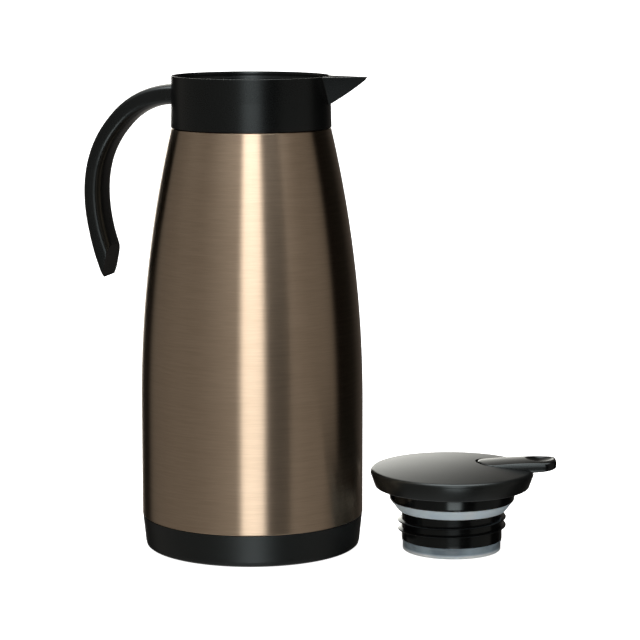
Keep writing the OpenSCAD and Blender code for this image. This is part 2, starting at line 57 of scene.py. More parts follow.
BODY_R = 69.0
TAPER_Z = 90.0
SHOULDER_R = 49.3
SHOULDER_Z = 260.9
SHELL_T = 0.8
VACUUM_GAP = 8.0
LINER_T = 0.7
SEAM_Z = 20.3
COLLAR_R = 49.0
COLLAR_Z = SHOULDER_Z + 0.8
RIM_Z = 293.4
LIP_Z = SHOULDER_Z + 19.0
SHELF_Z = LIP_Z + 1.4
SHELF_TOP_Z = SHELF_Z + 1.7
SPOUT_FOOT_Z = RIM_Z - 17.9
SPOUT_REACH = 73.0
BOWL_R = 47.2
NECK_R = 43.6
LINER_NECK_R = 38.1
SEAT_Z = SHOULDER_Z - 7.9
PLUG_R = 31.2
THREAD_R = 33.7
THREAD_PITCH = 5.2
THREAD_Z0 = 10.4
COVER_Z = 39.9
COVER_R = 50.7
COVER_TOP_Z = 51.2
CROWN = 4.6
EDGE_ROUND = 2.6
PIN_X = 36.0
PIN_Z = 47.5
LEVER_TIP = 64.4
LEVER_HALF_W = 11.9
LEVER_CROWN = 1.9
# Ball that makes the thumb hollow: its centre along the lever and above the table, and its radius
HOLLOW_AT = (54.5, 69.7)
HOLLOW_R = 15.0
STOPPER_TURN = math.radians(14.0)

# ---------------------------------------------------------------- mesh tools


def rounded(path, steps=4):
    """Closed outline with each corner (x, y, radius) rounded."""
    out = []
    count = len(path)
    for i, corner in enumerate(path):
        p = np.array(corner[:2], float)
        radius = corner[2] if len(corner) > 2 else 0.0
        if radius <= 0:
            out.append(p)
            continue
        a = np.array(path[i - 1][:2], float) - p
        b = np.array(path[(i + 1) % count][:2], float) - p
        la, lb = np.linalg.norm(a), np.linalg.norm(b)
        half = math.acos(max(-1.0, min(1.0, float(np.dot(a, b)) / (la * lb)))) / 2
        reach = min(radius / max(math.tan(half), 1e-6), 0.45 * la, 0.45 * lb)
        for k in range(steps + 1):
            u = k / steps
            out.append(p + a / la * reach * (1 - u) ** 2 + b / lb * reach * u ** 2)
    return out


def grid(rings, wrap_rings=False, caps=False):
    """Vertices and faces of a skin over equal closed rings."""
    rings = np.asarray(rings, float)
    rows, cols = rings.shape[0], rings.shape[1]
    faces = []
    for i in range(rows if wrap_rings else rows - 1):
        a, b = i * cols, ((i + 1) % rows) * cols
        for j in range(cols):
            k = (j + 1) % cols
            faces.append((a + j, a + k, b + k, b + j))
    if caps:
        faces.append(tuple(range(cols - 1, -1, -1)))
        faces.append(tuple((rows - 1) * cols + j for j in range(cols)))
    return rings.reshape(-1, 3), faces


def revolve(profile, turns=224):
    """A closed (radius, height) outline turned about the Z axis."""
    p = np.array(profile, float)
    a = np.arange(turns) * 2 * math.pi / turns
    rings = np.stack([np.outer(np.cos(a), p[:, 0]), np.outer(np.sin(a), p[:, 0]),
                      np.tile(p[:, 1], (turns, 1))], axis=2)
    return grid(rings, wrap_rings=True)


def prism(outline, z0, z1):
    """An outline in plan, extruded from z0 to z1."""
    low = [(x, y, z0) for x, y in outline]
    high = [(x, y, z1) for x, y in outline]
    return grid([low, high], caps=True)


def side_prism(outline, y0, y1):
    """An outline in side view (x, z), extruded from y0 to y1."""
    near = [(x, y0, z) for x, z in outline]
    far = [(x, y1, z) for x, z in outline]
    return grid([near, far], caps=True)


def turned(part, matrix):
    """A part moved by a matrix."""
    v = np.asarray(part[0], float)
    m = np.array(matrix)
    return v @ m[:3, :3].T + m[:3, 3], part[1]


def mesh_of(parts, weld=2e-3):
    """One bmesh of the parts, welded, with its faces turned outward."""
    bm = bmesh.new()
    for verts, faces in parts:
        made = [bm.verts.new(v) for v in np.asarray(verts, float)]
        bm.verts.ensure_lookup_table()
        for f in faces:
            try:
                bm.faces.new([made[i] for i in f])
            except ValueError:
                pass
    bmesh.ops.remove_doubles(bm, verts=bm.verts, dist=weld)
    bmesh.ops.dissolve_degenerate(bm, edges=bm.edges, dist=weld / 4)
    bmesh.ops.recalc_face_normals(bm, faces=bm.faces)
    return bm


stop_low, stop_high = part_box("plug_gasket")
STOPPER_AT = ((stop_low[0] + stop_high[0]) / 2, (stop_low[1] + stop_high[1]) / 2)
ON_TABLE = Matrix.Translation((*STOPPER_AT, 0)) @ Matrix.Rotation(STOPPER_TURN, 4, "Z")


def piece(name, parts, body, material, replaces=(), on_table=False, sharp=32.0):
    """Makes one Blender object from mesh parts in millimetres, and rides it on its body."""
    bm = parts if isinstance(parts, bmesh.types.BMesh) else mesh_of(parts)
    bm.transform(Matrix.Scale(MM, 4))
    if on_table:
        bm.transform(ON_TABLE)
    mesh = bpy.data.meshes.new(name)
    bm.to_mesh(mesh)
    bm.free()
    mesh.polygons.foreach_set("use_smooth", [True] * len(mesh.polygons))
    mesh.set_sharp_from_angle(angle=math.radians(sharp))
    mesh.materials.append(material)
    obj = bpy.data.objects.new(name, mesh)
    bpy.context.scene.collection.objects.link(obj)
    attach(obj, body)
    if replaces:
        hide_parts(*replaces)
    return obj


def cut(parts, cutters):
    """bmesh of parts with the cutters taken away."""
    objs = []
    for group in (parts, cutters):
        bm = mesh_of(group)
        mesh = bpy.data.meshes.new("shape")
        bm.to_mesh(mesh)
        bm.free()
        obj = bpy.data.objects.new("shape", mesh)
        bpy.context.scene.collection.objects.link(obj)
        objs.append(obj)
    base, tool = objs
    mod = base.modifiers.new("cut", "BOOLEAN")
    mod.operation = "DIFFERENCE"
    mod.solver = "EXACT"
    mod.object = tool
    bpy.context.view_layer.update()
    done = base.evaluated_get(bpy.context.evaluated_depsgraph_get())
    bm = bmesh.new()
    bm.from_mesh(done.to_mesh())
    done.to_mesh_clear()
    for obj in objs:
        mesh = obj.data
        bpy.data.objects.remove(obj)
        bpy.data.meshes.remove(mesh)
    bmesh.ops.remove_doubles(bm, verts=bm.verts, dist=1e-3)
    return bm


def smax(a, b, k):
    """The larger value, blended over a width k."""
    h = np.maximum(k - np.abs(a - b), 0) / k
    return np.maximum(a, b) + h * h * k / 4


def smin(a, b, k):
    """The smaller value, blended over a width k."""
    return -smax(-np.asarray(a, float), -np.asarray(b, float), k)


# ---------------------------------------------------------------- materials


class Nodes:
    """Short way to build a material's nodes."""

    def __init__(self, name):
        self.mat = bpy.data.materials.new(name)
        self.mat.use_nodes = True
        self.tree = self.mat.node_tree
        self.shader = self.tree.nodes["Principled BSDF"]

    def add(self, kind, **settings):
        node = self.tree.nodes.new(kind)
        for key, value in settings.items():
            setattr(node, key, value)
        return node

    def link(self, a, b):
        self.tree.links.new(a, b)

    def put(self, socket, value):
        if isinstance(value, (int, float, tuple)):
            socket.default_value = value
        else:
            self.link(value, socket)

    def math(self, kind, a, b=None, c=None):
        node = self.add("ShaderNodeMath", operation=kind)
        for socket, value in zip(node.inputs, (a, b, c)):
            if value is not None:
                self.put(socket, value)
        return node.outputs[0]

    def ramp(self, fac, stops):
        node = self.add("ShaderNodeValToRGB")
        node.color_ramp.interpolation = "EASE"
        while len(node.color_ramp.elements) < len(stops):
            node.color_ramp.elements.new(0.5)
        for element, (at, colour) in zip(node.color_ramp.elements, stops):
            element.position = at
            element.color = colour if isinstance(colour, tuple) else (colour, colour, colour, 1)
        self.link(fac, node.inputs[0])
        return node.outputs[0]

    def span(self, fac, low, high):
        node = self.add("ShaderNodeMapRange")
        self.link(fac, node.inputs[0])
        node.inputs[3].default_value = low
        node.inputs[4].default_value = high
        return node.outputs[0]

    def noise(self, vector, scale, detail=2.0, rough=0.5):
        node = self.add("ShaderNodeTexNoise")
        node.inputs["Scale"].default_value = scale
        node.inputs["Detail"].default_value = detail
        node.inputs["Roughness"].default_value = rough
        self.link(vector, node.inputs["Vector"])
        return node.outputs[0]

    def place(self):
        return self.add("ShaderNodeTexCoord").outputs["Object"]

    def bump(self, height, strength, distance):
        node = self.add("ShaderNodeBump")
        node.inputs["Strength"].default_value = strength
        node.inputs["Distance"].default_value = distance
        self.link(height, node.inputs["Height"])
        self.link(node.outputs[0], self.shader.inputs["Normal"])

    def set(self, **values):
        for key, value in values.items():
            self.put(self.shader.inputs[key.replace("_", " ")], value)


def brushed(name, dark, light, rough, axis_at=(0.0, 0.0), anisotropic=0.0, grain=0.3, lines=1.0):
    """Steel brushed in fine rings about an upright axis."""
    m = Nodes(name)
    xyz = m.add("ShaderNodeSeparateXYZ")
    m.link(m.place(), xyz.inputs[0])
    x = m.math("SUBTRACT", xyz.outputs[0], axis_at[0])
    y = m.math("SUBTRACT", xyz.outputs[1], axis_at[1])
    z = xyz.outputs[2]
    around = m.math("ARCTAN2", y, x)
    radius = m.math("SQRT", m.math("ADD", m.math("MULTIPLY", x, x), m.math("MULTIPLY", y, y)))
    across = m.math("ADD", z, radius)

    def streaks(pitch, length, detail):
        vector = m.add("ShaderNodeCombineXYZ")
        m.link(m.math("MULTIPLY", m.math("SINE", around), length), vector.inputs[0])
        m.link(m.math("MULTIPLY", m.math("COSINE", around), length), vector.inputs[1])
        m.link(m.math("MULTIPLY", across, 1.0 / pitch), vector.inputs[2])
        return m.noise(vector.outputs[0], 1.0, detail, 0.6)

    fine = streaks(0.00035 * lines, 5.0, 2.0)
    coarse = streaks(0.0014 * lines, 2.2, 2.0)
    cloud = m.noise(m.place(), 14.0, 2.0)
    mixed = m.math("ADD", m.math("MULTIPLY", fine, 0.45),
                   m.math("ADD", m.math("MULTIPLY", coarse, 0.4), m.math("MULTIPLY", cloud, 0.15)))
    m.set(Base_Color=m.ramp(mixed, [(0.34, (*dark, 1)), (0.66, (*light, 1))]),
          Metallic=1.0, Roughness=m.span(mixed, rough - 0.06, rough + 0.07))
    if anisotropic:
        m.set(Anisotropic=anisotropic, Anisotropic_Rotation=0.25)
        tangent = m.add("ShaderNodeTangent", direction_type="RADIAL", axis="Z")
        m.link(tangent.outputs[0], m.shader.inputs["Tangent"])
    m.bump(m.math("ADD", m.math("MULTIPLY", fine, 0.6), m.math("MULTIPLY", coarse, 0.4)), grain, 0.00002)
    return m.mat


# Tint of the plastics' highlights
COOL = (0.86, 0.98, 1.0, 1.0)


def moulded(name, low, high, rough, grain=0.25, grain_size=0.0004, wear=0.5, specular=0.5):
    """Moulded plastic with a fine spark-eroded grain, faint cloudiness and rubbed edges."""
    m = Nodes(name)
    at = m.place()
    fine = m.noise(at, 1.0 / grain_size, 2.0, 0.6)
    cloud = m.noise(at, 22.0, 3.0)
    edge = m.add("ShaderNodeNewGeometry").outputs["Pointiness"]
    rub = m.ramp(edge, [(0.49, 0.0), (0.56, 1.0)])
    tone = m.math("ADD", m.math("MULTIPLY", cloud, 0.7),
                  m.math("ADD", m.math("MULTIPLY", fine, 0.3), m.math("MULTIPLY", rub, wear)))
    m.set(Base_Color=m.ramp(tone, [(0.3, (*low, 1)), (1.0, (*high, 1))]),
          Roughness=m.math("SUBTRACT", m.span(m.math("ADD", m.math("MULTIPLY", cloud, 0.6),
                                                     m.math("MULTIPLY", fine, 0.4)),
                                              rough - 0.05, rough + 0.07), m.math("MULTIPLY", rub, 0.04)),
          Specular_IOR_Level=specular, Specular_Tint=COOL)
    m.bump(fine, grain, 0.00004)
    return m.mat


def soft_clear(name, low, high, rough, subsurface, painted_light_below=None):
    """Milky silicone, painted paler below the given height: painted light from the white table beneath."""
    m = Nodes(name)
    at = m.place()
    cloud = m.noise(at, 60.0, 3.0)
    fine = m.noise(at, 2600.0, 2.0)
    tone = cloud
    # Painted light: below the given height the tone is pushed towards near-white, standing in for light from
    # the table below.
    if painted_light_below:
        xyz = m.add("ShaderNodeSeparateXYZ")
        m.link(at, xyz.inputs[0])
        painted_light = m.add("ShaderNodeMapRange")
        m.link(xyz.outputs[2], painted_light.inputs[0])
        for socket, value in zip(painted_light.inputs[1:5], (painted_light_below + 0.0006, painted_light_below - 0.0006, 0.0, 1.0)):
            socket.default_value = value
        tone = m.math("ADD", m.math("MULTIPLY", cloud, 0.6), m.math("MULTIPLY", painted_light.outputs[0], 0.5))
    m.set(Base_Color=m.ramp(tone, [(0.2, (*low, 1)), (0.5, (*high, 1)), (1.0, (0.9, 0.93, 0.93, 1))]),
          Roughness=m.span(fine, rough - 0.06, rough + 0.06),
          Subsurface_Weight=subsurface, Subsurface_Scale=0.003,
          Subsurface_Radius=(0.8, 0.9, 1.0), Transmission_Weight=0.0)
    m.bump(fine, 0.15, 0.00003)
    return m.mat


bronze_steel = brushed("bronze_steel", (0.56, 0.435, 0.315), (0.64, 0.505, 0.375), 0.31, anisotropic=1.0)
liner_steel = brushed("liner_steel", (0.50, 0.49, 0.47), (0.60, 0.59, 0.57), 0.30, anisotropic=0.8)
plain_steel = brushed("plain_steel", (0.44, 0.43, 0.41), (0.58, 0.57, 0.55), 0.34, lines=2.0)
fasteners = brushed("fasteners", (0.52, 0.52, 0.51), (0.66, 0.66, 0.65), 0.22,
                    axis_at=STOPPER_AT, lines=0.8)
spring_wire = brushed("spring_wire", (0.50, 0.50, 0.49), (0.66, 0.66, 0.65), 0.2,
                      axis_at=STOPPER_AT, lines=0.5)
BLACK_LOW = (0.0016, 0.0018, 0.0018)
BLACK_HIGH = (0.006, 0.0064, 0.0066)
black_plastic = moulded("black_plastic", BLACK_LOW, BLACK_HIGH, 0.27, specular=0.45)
matt_black = moulded("matt_black", BLACK_LOW, BLACK_HIGH, 0.38, specular=0.55)
inner_plastic = moulded("inner_plastic", (0.002, 0.002, 0.002), (0.008, 0.008, 0.008), 0.38)
gloss_black = moulded("gloss_black", (0.0012, 0.0013, 0.0013), (0.005, 0.0052, 0.0052), 0.15,
                      grain=0.05, specular=0.4)
charcoal = moulded("charcoal_plastic", (0.003, 0.0032, 0.003), (0.010, 0.0105, 0.010), 0.30, grain=0.3)
black_rubber = moulded("black_rubber", (0.014, 0.014, 0.014), (0.04, 0.04, 0.04), 0.7,
                       grain=0.5, specular=0.3)
silicone = soft_clear("silicone", (0.60, 0.75, 0.89), (0.70, 0.85, 0.97), 0.30, 0.4)
# The seal's lower band is painted paler, as painted light from the table below.
seal_silicone = soft_clear("seal_silicone", (0.16, 0.21, 0.25), (0.39, 0.49, 0.56), 0.30, 0.4, painted_light_below=0.0022)

# ---------------------------------------------------------------- jug

TAPER_ARC = ((SHOULDER_Z - TAPER_Z) ** 2 + (BODY_R - SHOULDER_R) ** 2) / (2 * (BODY_R - SHOULDER_R))
TUCK_R = 65.6
TUCK_Z = 8.8
BODY_STEPS = 64


def side(top, inset):
    """The shell's tapering side up to top, moved inward by inset."""
    out = []
    for z in np.linspace(TAPER_Z, top, BODY_STEPS):
        r = BODY_R - TAPER_ARC + math.sqrt(TAPER_ARC ** 2 - (z - TAPER_Z) ** 2)
        out.append((r - inset, z))
    return out


shell_out = [
    (TUCK_R, TUCK_Z, 0.2), (TUCK_R, SEAM_Z - 0.4, 0.4), (TUCK_R + 0.6, SEAM_Z + 0.2, 0.2),
    (BODY_R - 0.5, SEAM_Z + 0.2, 0.2), (BODY_R, SEAM_Z + 0.8, 0.4), (BODY_R, 40), (BODY_R, 65),
    *side(SHOULDER_Z - 0.9, 0),
    (SHOULDER_R, SHOULDER_Z + 0.2, 0.5), (SHOULDER_R - 1.0, SHOULDER_Z + 0.4, 0.4),
    (NECK_R + 1.6, SHOULDER_Z + 0.4, 0.5), (NECK_R, SHOULDER_Z + 2, 0.5), (NECK_R, LIP_Z, 0.3),
    (LINER_NECK_R + 0.05, LIP_Z),
]
shell_in = [
    (TUCK_R - SHELL_T, TUCK_Z, 0.1), (TUCK_R - SHELL_T, SEAM_Z - 0.1, 0.3),
    (TUCK_R, SEAM_Z + 0.2 + SHELL_T, 0.2), (BODY_R - 0.6 - SHELL_T / 2, SEAM_Z + 0.2 + SHELL_T, 0.2),
    (BODY_R - SHELL_T, SEAM_Z + 1.5), (BODY_R - SHELL_T, 40), (BODY_R - SHELL_T, 65),
    *side(SHOULDER_Z - 0.9, SHELL_T),
    (SHOULDER_R - 1.3, SHOULDER_Z - 0.4, 0.3), (NECK_R + 1.3, SHOULDER_Z - 0.4, 0.5),
    (NECK_R - SHELL_T, SHOULDER_Z + 1.7, 0.4), (NECK_R - SHELL_T, LIP_Z - SHELL_T, 0.2),
    (LINER_NECK_R + 0.05, LIP_Z - SHELL_T),
]
piece("shell_skin", [revolve(rounded(shell_out + shell_in[::-1]), 256)], "jug",
      bronze_steel, ["outer_shell"])

LINER_FLOOR_Z = 19.5
LINER_BEND = 12.0
liner_r = BODY_R - SHELL_T - VACUUM_GAP
bend_turns = [math.radians(a) for a in range(-90, 1, 6)]


def liner_side(t):
    """Floor, bend, side and neck of the liner, moved inward by t."""
    r = liner_r - LINER_BEND
    bend = LINER_BEND - t
    foot = [(r + bend * math.cos(a), LINER_FLOOR_Z + LINER_BEND + bend * math.sin(a)) for a in bend_turns]
    neck = LINER_NECK_R - t
    inset = SHELL_T + VACUUM_GAP + t
    return [(0, LINER_FLOOR_Z + t), *foot, *side(SHOULDER_Z - 10.9, inset),
            (neck + 3.8, SHOULDER_Z - 7.6, 2.0), (neck + 2.1, SHOULDER_Z - 5.4, 1.5),
            (neck, SHOULDER_Z - 4.0 - t / 2, 1.0), (neck, LIP_Z)]


piece("liner_skin", [revolve(rounded(liner_side(0) + liner_side(LINER_T)[::-1]), 192)], "jug",
      liner_steel, ["inner_liner"])

FOOT_IN, FOOT_OUT = 57.5, 62.5
cup_wall = TUCK_R + 0.15
cup = [
    (0, 2.2), (FOOT_IN - 3, 2.2, 0.4), (FOOT_IN - 1.5, 0.6, 0.4), (FOOT_IN - 0.2, 0.6), (FOOT_IN - 0.2, 1.9),
    (FOOT_OUT + 0.2, 1.9), (FOOT_OUT + 0.2, 0.6), (65.2, 0.6, 0.5), (66.5, 1.6, 1.0), (67.0, 3.6, 1.2),
    (67.5, 8.4, 3.0), (68.05, 13.5, 3.0), (68.7, SEAM_Z - 0.45, 0.4), (68.35, SEAM_Z, 0.25),
    (cup_wall + 0.9, SEAM_Z, 0.2), (cup_wall, SEAM_Z - 0.8, 0.2), (cup_wall, 7.6, 0.6),
    (cup_wall - 3.2, 4.4, 0.6), (0, 4.4),
]
piece("base_cup_skin", [revolve(rounded(cup), 224)], "jug", matt_black, ["base_cup"])
foot = [(FOOT_IN, 1.8, 0.1), (FOOT_IN, 0.0, 0.5), (FOOT_OUT, 0.0, 0.5), (FOOT_OUT, 1.8, 0.1)]
piece("foot_ring_skin", [revolve(rounded(foot), 192)], "jug", black_rubber, ["foot_ring"])


def wedge(base, tip, foot_at, foot_z, belly_out):
    """Function for the radii at which a ray from the axis meets the spout's two side faces."""
    a, t, f = (np.array(p, float) for p in ((*base, RIM_Z), (*tip, RIM_Z), (*foot_at, foot_z)))
    n = np.cross(t - a, f - a)
    n *= math.copysign(1.0, n[1])
    d = float(n @ a)

    def radius(turn, z):
        c, s = np.cos(turn), np.sin(turn)
        up = min(1.0, max(0.0, (z - foot_z) / (RIM_Z - foot_z)))
        belly = 4 * belly_out * up * (1 - up)
        out = []
        for sign in (1, -1):
            run = n[0] * c + sign * n[1] * s
            far = np.where(run > 1e-6, (d + n[0] * belly - n[2] * z) / np.maximum(run, 1e-6), 1e3)
            out.append(np.where(np.cos(turn) > 0.2, far, 0.0))
        return out

    return radius


spout_face = wedge((46.91, 11.83), (72.35, 0.98), (47.86, 0.54), SPOUT_FOOT_Z, 1.2)
channel_face = wedge((44.28, 9.363), (69.8, 0.65), (45.17, 0.469), SPOUT_FOOT_Z + 1.2, 0.6)


def collar_outer(turn, z):
    """Outer radius of the collar and its beak at one height."""
    wall = COLLAR_R + 0.45 * max(0.0, 1 - (z - COLLAR_Z) / 17) - 0.3 * max(0.0, 1 - (z - COLLAR_Z) / 0.5) ** 2
    left, right = spout_face(turn, z)
    front = (SPOUT_REACH - 0.5 + 0.5 * min(1.0, (z - RIM_Z + 1.7) / 1.7)) / np.maximum(np.cos(turn), 0.3)
    keel = 2.6 - 1.4 * min(1.0, max(0.0, (z - SPOUT_FOOT_Z) / 17.9))
    beak = smin(smin(left, right, keel), front, 1.0)
    return smax(wall, beak, 0.5)


def collar_inner(turn, z):
    """Inner radius of the collar and its pouring channel at one height."""
    wall = np.interp(z, [RIM_Z - 4.5, RIM_Z - 3.0], [BOWL_R, COLLAR_R - 1])
    left, right = channel_face(turn, z)
    return smax(wall, smin(left, right, 1.6), 0.8)


def collar_rings():
    """Rings up the collar's outside, over the rim, and down to the pouring shelf."""
    half = np.concatenate([np.arange(0, 4, 0.25), np.arange(4, 19, 0.35), np.arange(19, 180, 1.5)])
    turn = np.radians(np.concatenate([half, [180.0], -half[:0:-1]]))
    flat = np.full_like(turn, 1.0)
    fillet = np.radians([0, 22, 45, 67, 90])
    top_out = collar_outer(turn, RIM_Z)
    top_in = collar_inner(turn, RIM_Z - 0.3)
    low_in = collar_inner(turn, SHELF_TOP_Z + 0.4)
    rows = [(flat * (COLLAR_R - 0.1), COLLAR_Z), (collar_outer(turn, COLLAR_Z) - 0.05, COLLAR_Z + 0.05)]
    rows += [(collar_outer(turn, z), z) for z in
             [COLLAR_Z + 0.25, COLLAR_Z + 0.5, COLLAR_Z + 0.8, COLLAR_Z + 2, COLLAR_Z + 4, COLLAR_Z + 6,
              COLLAR_Z + 8, COLLAR_Z + 10]]
    rows += [(collar_outer(turn, z), z) for z in np.arange(COLLAR_Z + 12, RIM_Z - 0.5, 0.45)]
    rows += [(top_out - 0.28 * (1 - math.cos(a)), RIM_Z - 0.28 * (1 - math.sin(a))) for a in fillet]
    chamfer = ((0.55, 0), (0.45, 0.03), (0.38, 0.15), (0.1, 0.95))
    rows += [(top_in + out, RIM_Z - drop) for out, drop in chamfer]
    rows += [(collar_inner(turn, z), z) for z in np.arange(RIM_Z - 1.2, SHELF_TOP_Z + 0.5, -0.45)]
    rows += [(low_in - 0.05, SHELF_TOP_Z + 0.15), (low_in - 0.3, SHELF_TOP_Z)]
    rows += [((low_in - 0.3) * (1 - t) + 46.2 * t, SHELF_TOP_Z) for t in (0.33, 0.66, 1.0)]
    rows += [(flat * 40.5, SHELF_TOP_Z), (flat * 40.4, SHELF_TOP_Z - 0.1), (flat * 40.4, SHELF_Z),
             (flat * BOWL_R, SHELF_Z), (flat * BOWL_R, COLLAR_Z + 1), (flat * (BOWL_R + 0.4), COLLAR_Z)]
    return [np.stack([r * np.cos(turn), r * np.sin(turn), np.full_like(turn, z)], axis=1) for r, z in rows]


piece("collar_skin", [grid(collar_rings(), wrap_rings=True)], "jug", black_plastic,
      ["collar"], sharp=38)

# Neck insert: sleeve with the female thread and the gasket's conical seat


def ridge(start, stop, z0, root_r, crest_r, root_half, crest_half, per_turn=72):
    """Helical ridge, run out at both ends, with a rounded crest."""
    turns = np.arange(start, stop + 1e-6, 360.0 / per_turn)
    rings = []
    for a in turns:
        fade = min(1.0, (a - start) / 30 + 0.1, (stop - a) / 30 + 0.1)
        crest = root_r + (crest_r - root_r) * fade
        z = z0 + THREAD_PITCH * a / 360
        shoulder = root_r + (crest - root_r) * 0.92
        outline = [(root_r, -root_half), (root_r + (crest - root_r) * 0.15, -root_half * 0.86),
                   (shoulder, -crest_half), (crest, -crest_half * 0.4), (crest, crest_half * 0.4),
                   (shoulder, crest_half), (root_r + (crest - root_r) * 0.15, root_half * 0.86),
                   (root_r, root_half)]
        c, s = math.cos(math.radians(a)), math.sin(math.radians(a))
        rings.append([(r * c, r * s, z + dz) for r, dz in outline])
    return grid(rings, caps=True)


insert_top = SHELF_TOP_Z + 0.1 + 1.4
insert_out = LINER_NECK_R - LINER_T - 0.3
insert = [
    (30.9, SEAT_Z - 0.2, 0.3), (insert_out - 0.6, SEAT_Z - 0.2, 0.3), (LINER_NECK_R, SEAT_Z + 1.0, 0.2),
    (LINER_NECK_R, SEAT_Z + 1.6, 0.2), (insert_out, SEAT_Z + 1.7),
    (insert_out, LIP_Z + 0.15), (40, LIP_Z + 0.15),
    (40, insert_top - 1.4), (45.5, insert_top - 1.4, 0.2), (45.5, insert_top, 0.5),
    (38.4, insert_top, 0.4), (THREAD_R + 0.5, SEAT_Z + 25.5, 0.6), (THREAD_R + 0.5, SEAT_Z + 7.5, 0.5),
    (30.9, SEAT_Z + 5.5, 0.5),
]
female_thread = ridge(180, 720, SEAT_Z + THREAD_Z0, THREAD_R + 0.9, PLUG_R + 0.6, 1.1, 0.4)
piece("neck_insert_skin", [revolve(rounded(insert), 192), female_thread], "jug",
      inner_plastic, ["neck_insert"])

# Handle


def cubic(a, b, c, d, t):
    """Points of a cubic curve from a to d."""
    a, b, c, d = (np.array(p, float) for p in (a, b, c, d))
    t = np.asarray(t, float)[:, None]
    return (1 - t) ** 3 * a + 3 * (1 - t) ** 2 * t * b + 3 * (1 - t) * t ** 2 * c + t ** 3 * d


HANDLE_W = 27.0
HANDLE_ROOT_T = 12.8
HANDLE_GRIP_T = 11.6
BEND = (84.8, 263.5)
END = (88.5, 168.0)
# The slanted free end: its lean from the level, the stretch it may cut, and the stretch with finer rings
FACET_TURN = math.radians(78.5)
FACET_REACH = 40.0
TAIL = 26.0


def handle_rings():
    """Cross-sections along the handle, cut by the facet and rounded at the tip."""
    upper = cubic((46, 281.6), (59, 281.6), (73.5, 277.5), BEND, np.linspace(0, 1, 60)[:-1])
    lower = cubic(BEND, (103.5, 242), (106, 211), END, np.linspace(0, 1, 130))
    line = np.concatenate([upper, lower])
    steps = np.linalg.norm(np.diff(line, axis=0), axis=1)
    run = np.concatenate([[0], np.cumsum(steps)])
    tail_at = run[-1] - TAIL
    at = np.concatenate([np.linspace(0, tail_at, 120)[:-1], np.linspace(tail_at, run[-1], 70)])
    line = np.stack([np.interp(at, run, line[:, 0]), np.interp(at, run, line[:, 1])], axis=1)
    along = np.gradient(line, axis=0)
    for _ in range(6):
        along[1:-1] = (along[:-2] + 2 * along[1:-1] + along[2:]) / 4
    along /= np.linalg.norm(along, axis=1)[:, None]
    turns = np.radians(np.arange(0, 360, 5.0))
    c, s = np.cos(turns), np.sin(turns)
    cut_at = np.array([-END[0] - 4.8, END[1] - 1.2])
    cut_n = np.array([math.sin(FACET_TURN), -math.cos(FACET_TURN)])
    rings = []
    total = at[-1] - 0.5
    tip, tip_rise, corner = 3.6, 1.8, 5.0
    for i, (p, d) in enumerate(zip(line, along)):
        if at[i] > total:
            break
        root_share = max(0, 1 - 2 * at[i] / total)
        half_t = (HANDLE_GRIP_T + (HANDLE_ROOT_T - HANDLE_GRIP_T) * root_share) / 2
        power = np.interp(at[i], [total - 30, total - 15], [0.6, 0.5])
        oblong_t = np.sign(c) * np.abs(c) ** power
        oblong_w = np.sign(s) * np.abs(s) ** power
        near_end = min(1.0, max(0.0, (at[i] - (total - tip)) / tip))
        rise = tip_rise * (1 - math.sqrt(1 - near_end ** 2))
        t = oblong_t * half_t
        centre = np.array([-p[0], p[1]])
        out = np.array([-d[1], -d[0]])
        start = float((centre - cut_at) @ cut_n)
        slope = float(out @ cut_n)
        if at[i] > total - FACET_REACH and slope > 0.05:
            t = smin(t, max(-start / slope, -half_t + rise + 0.5), 0.5)
        short = max(0.0, 1 - (total - at[i]) / corner)
        w = oblong_w * (HANDLE_W / 2 - corner * (1 - math.sqrt(1 - short ** 2)))
        t = np.maximum(t, -half_t + rise)
        x = centre[0] + t * out[0]
        z = centre[1] + t * out[1]
        if i == 0:
            x = -np.sqrt((COLLAR_R - 0.3) ** 2 - w ** 2)
        rings.append(np.stack([x, w, z], axis=1))
    return [rings[0]] + [r for r in rings[1:] if r[:, 0].max() < -COLLAR_R - 0.4]


piece("handle_skin", [grid(handle_rings(), caps=True)], "jug", black_plastic, ["handle"])

# ---------------------------------------------------------------- stopper

WINDOW_Z = (33.4, 37.2)
WINDOW_TURNS = (158.0, 202.0)
WINDOW_HALF = 11.3


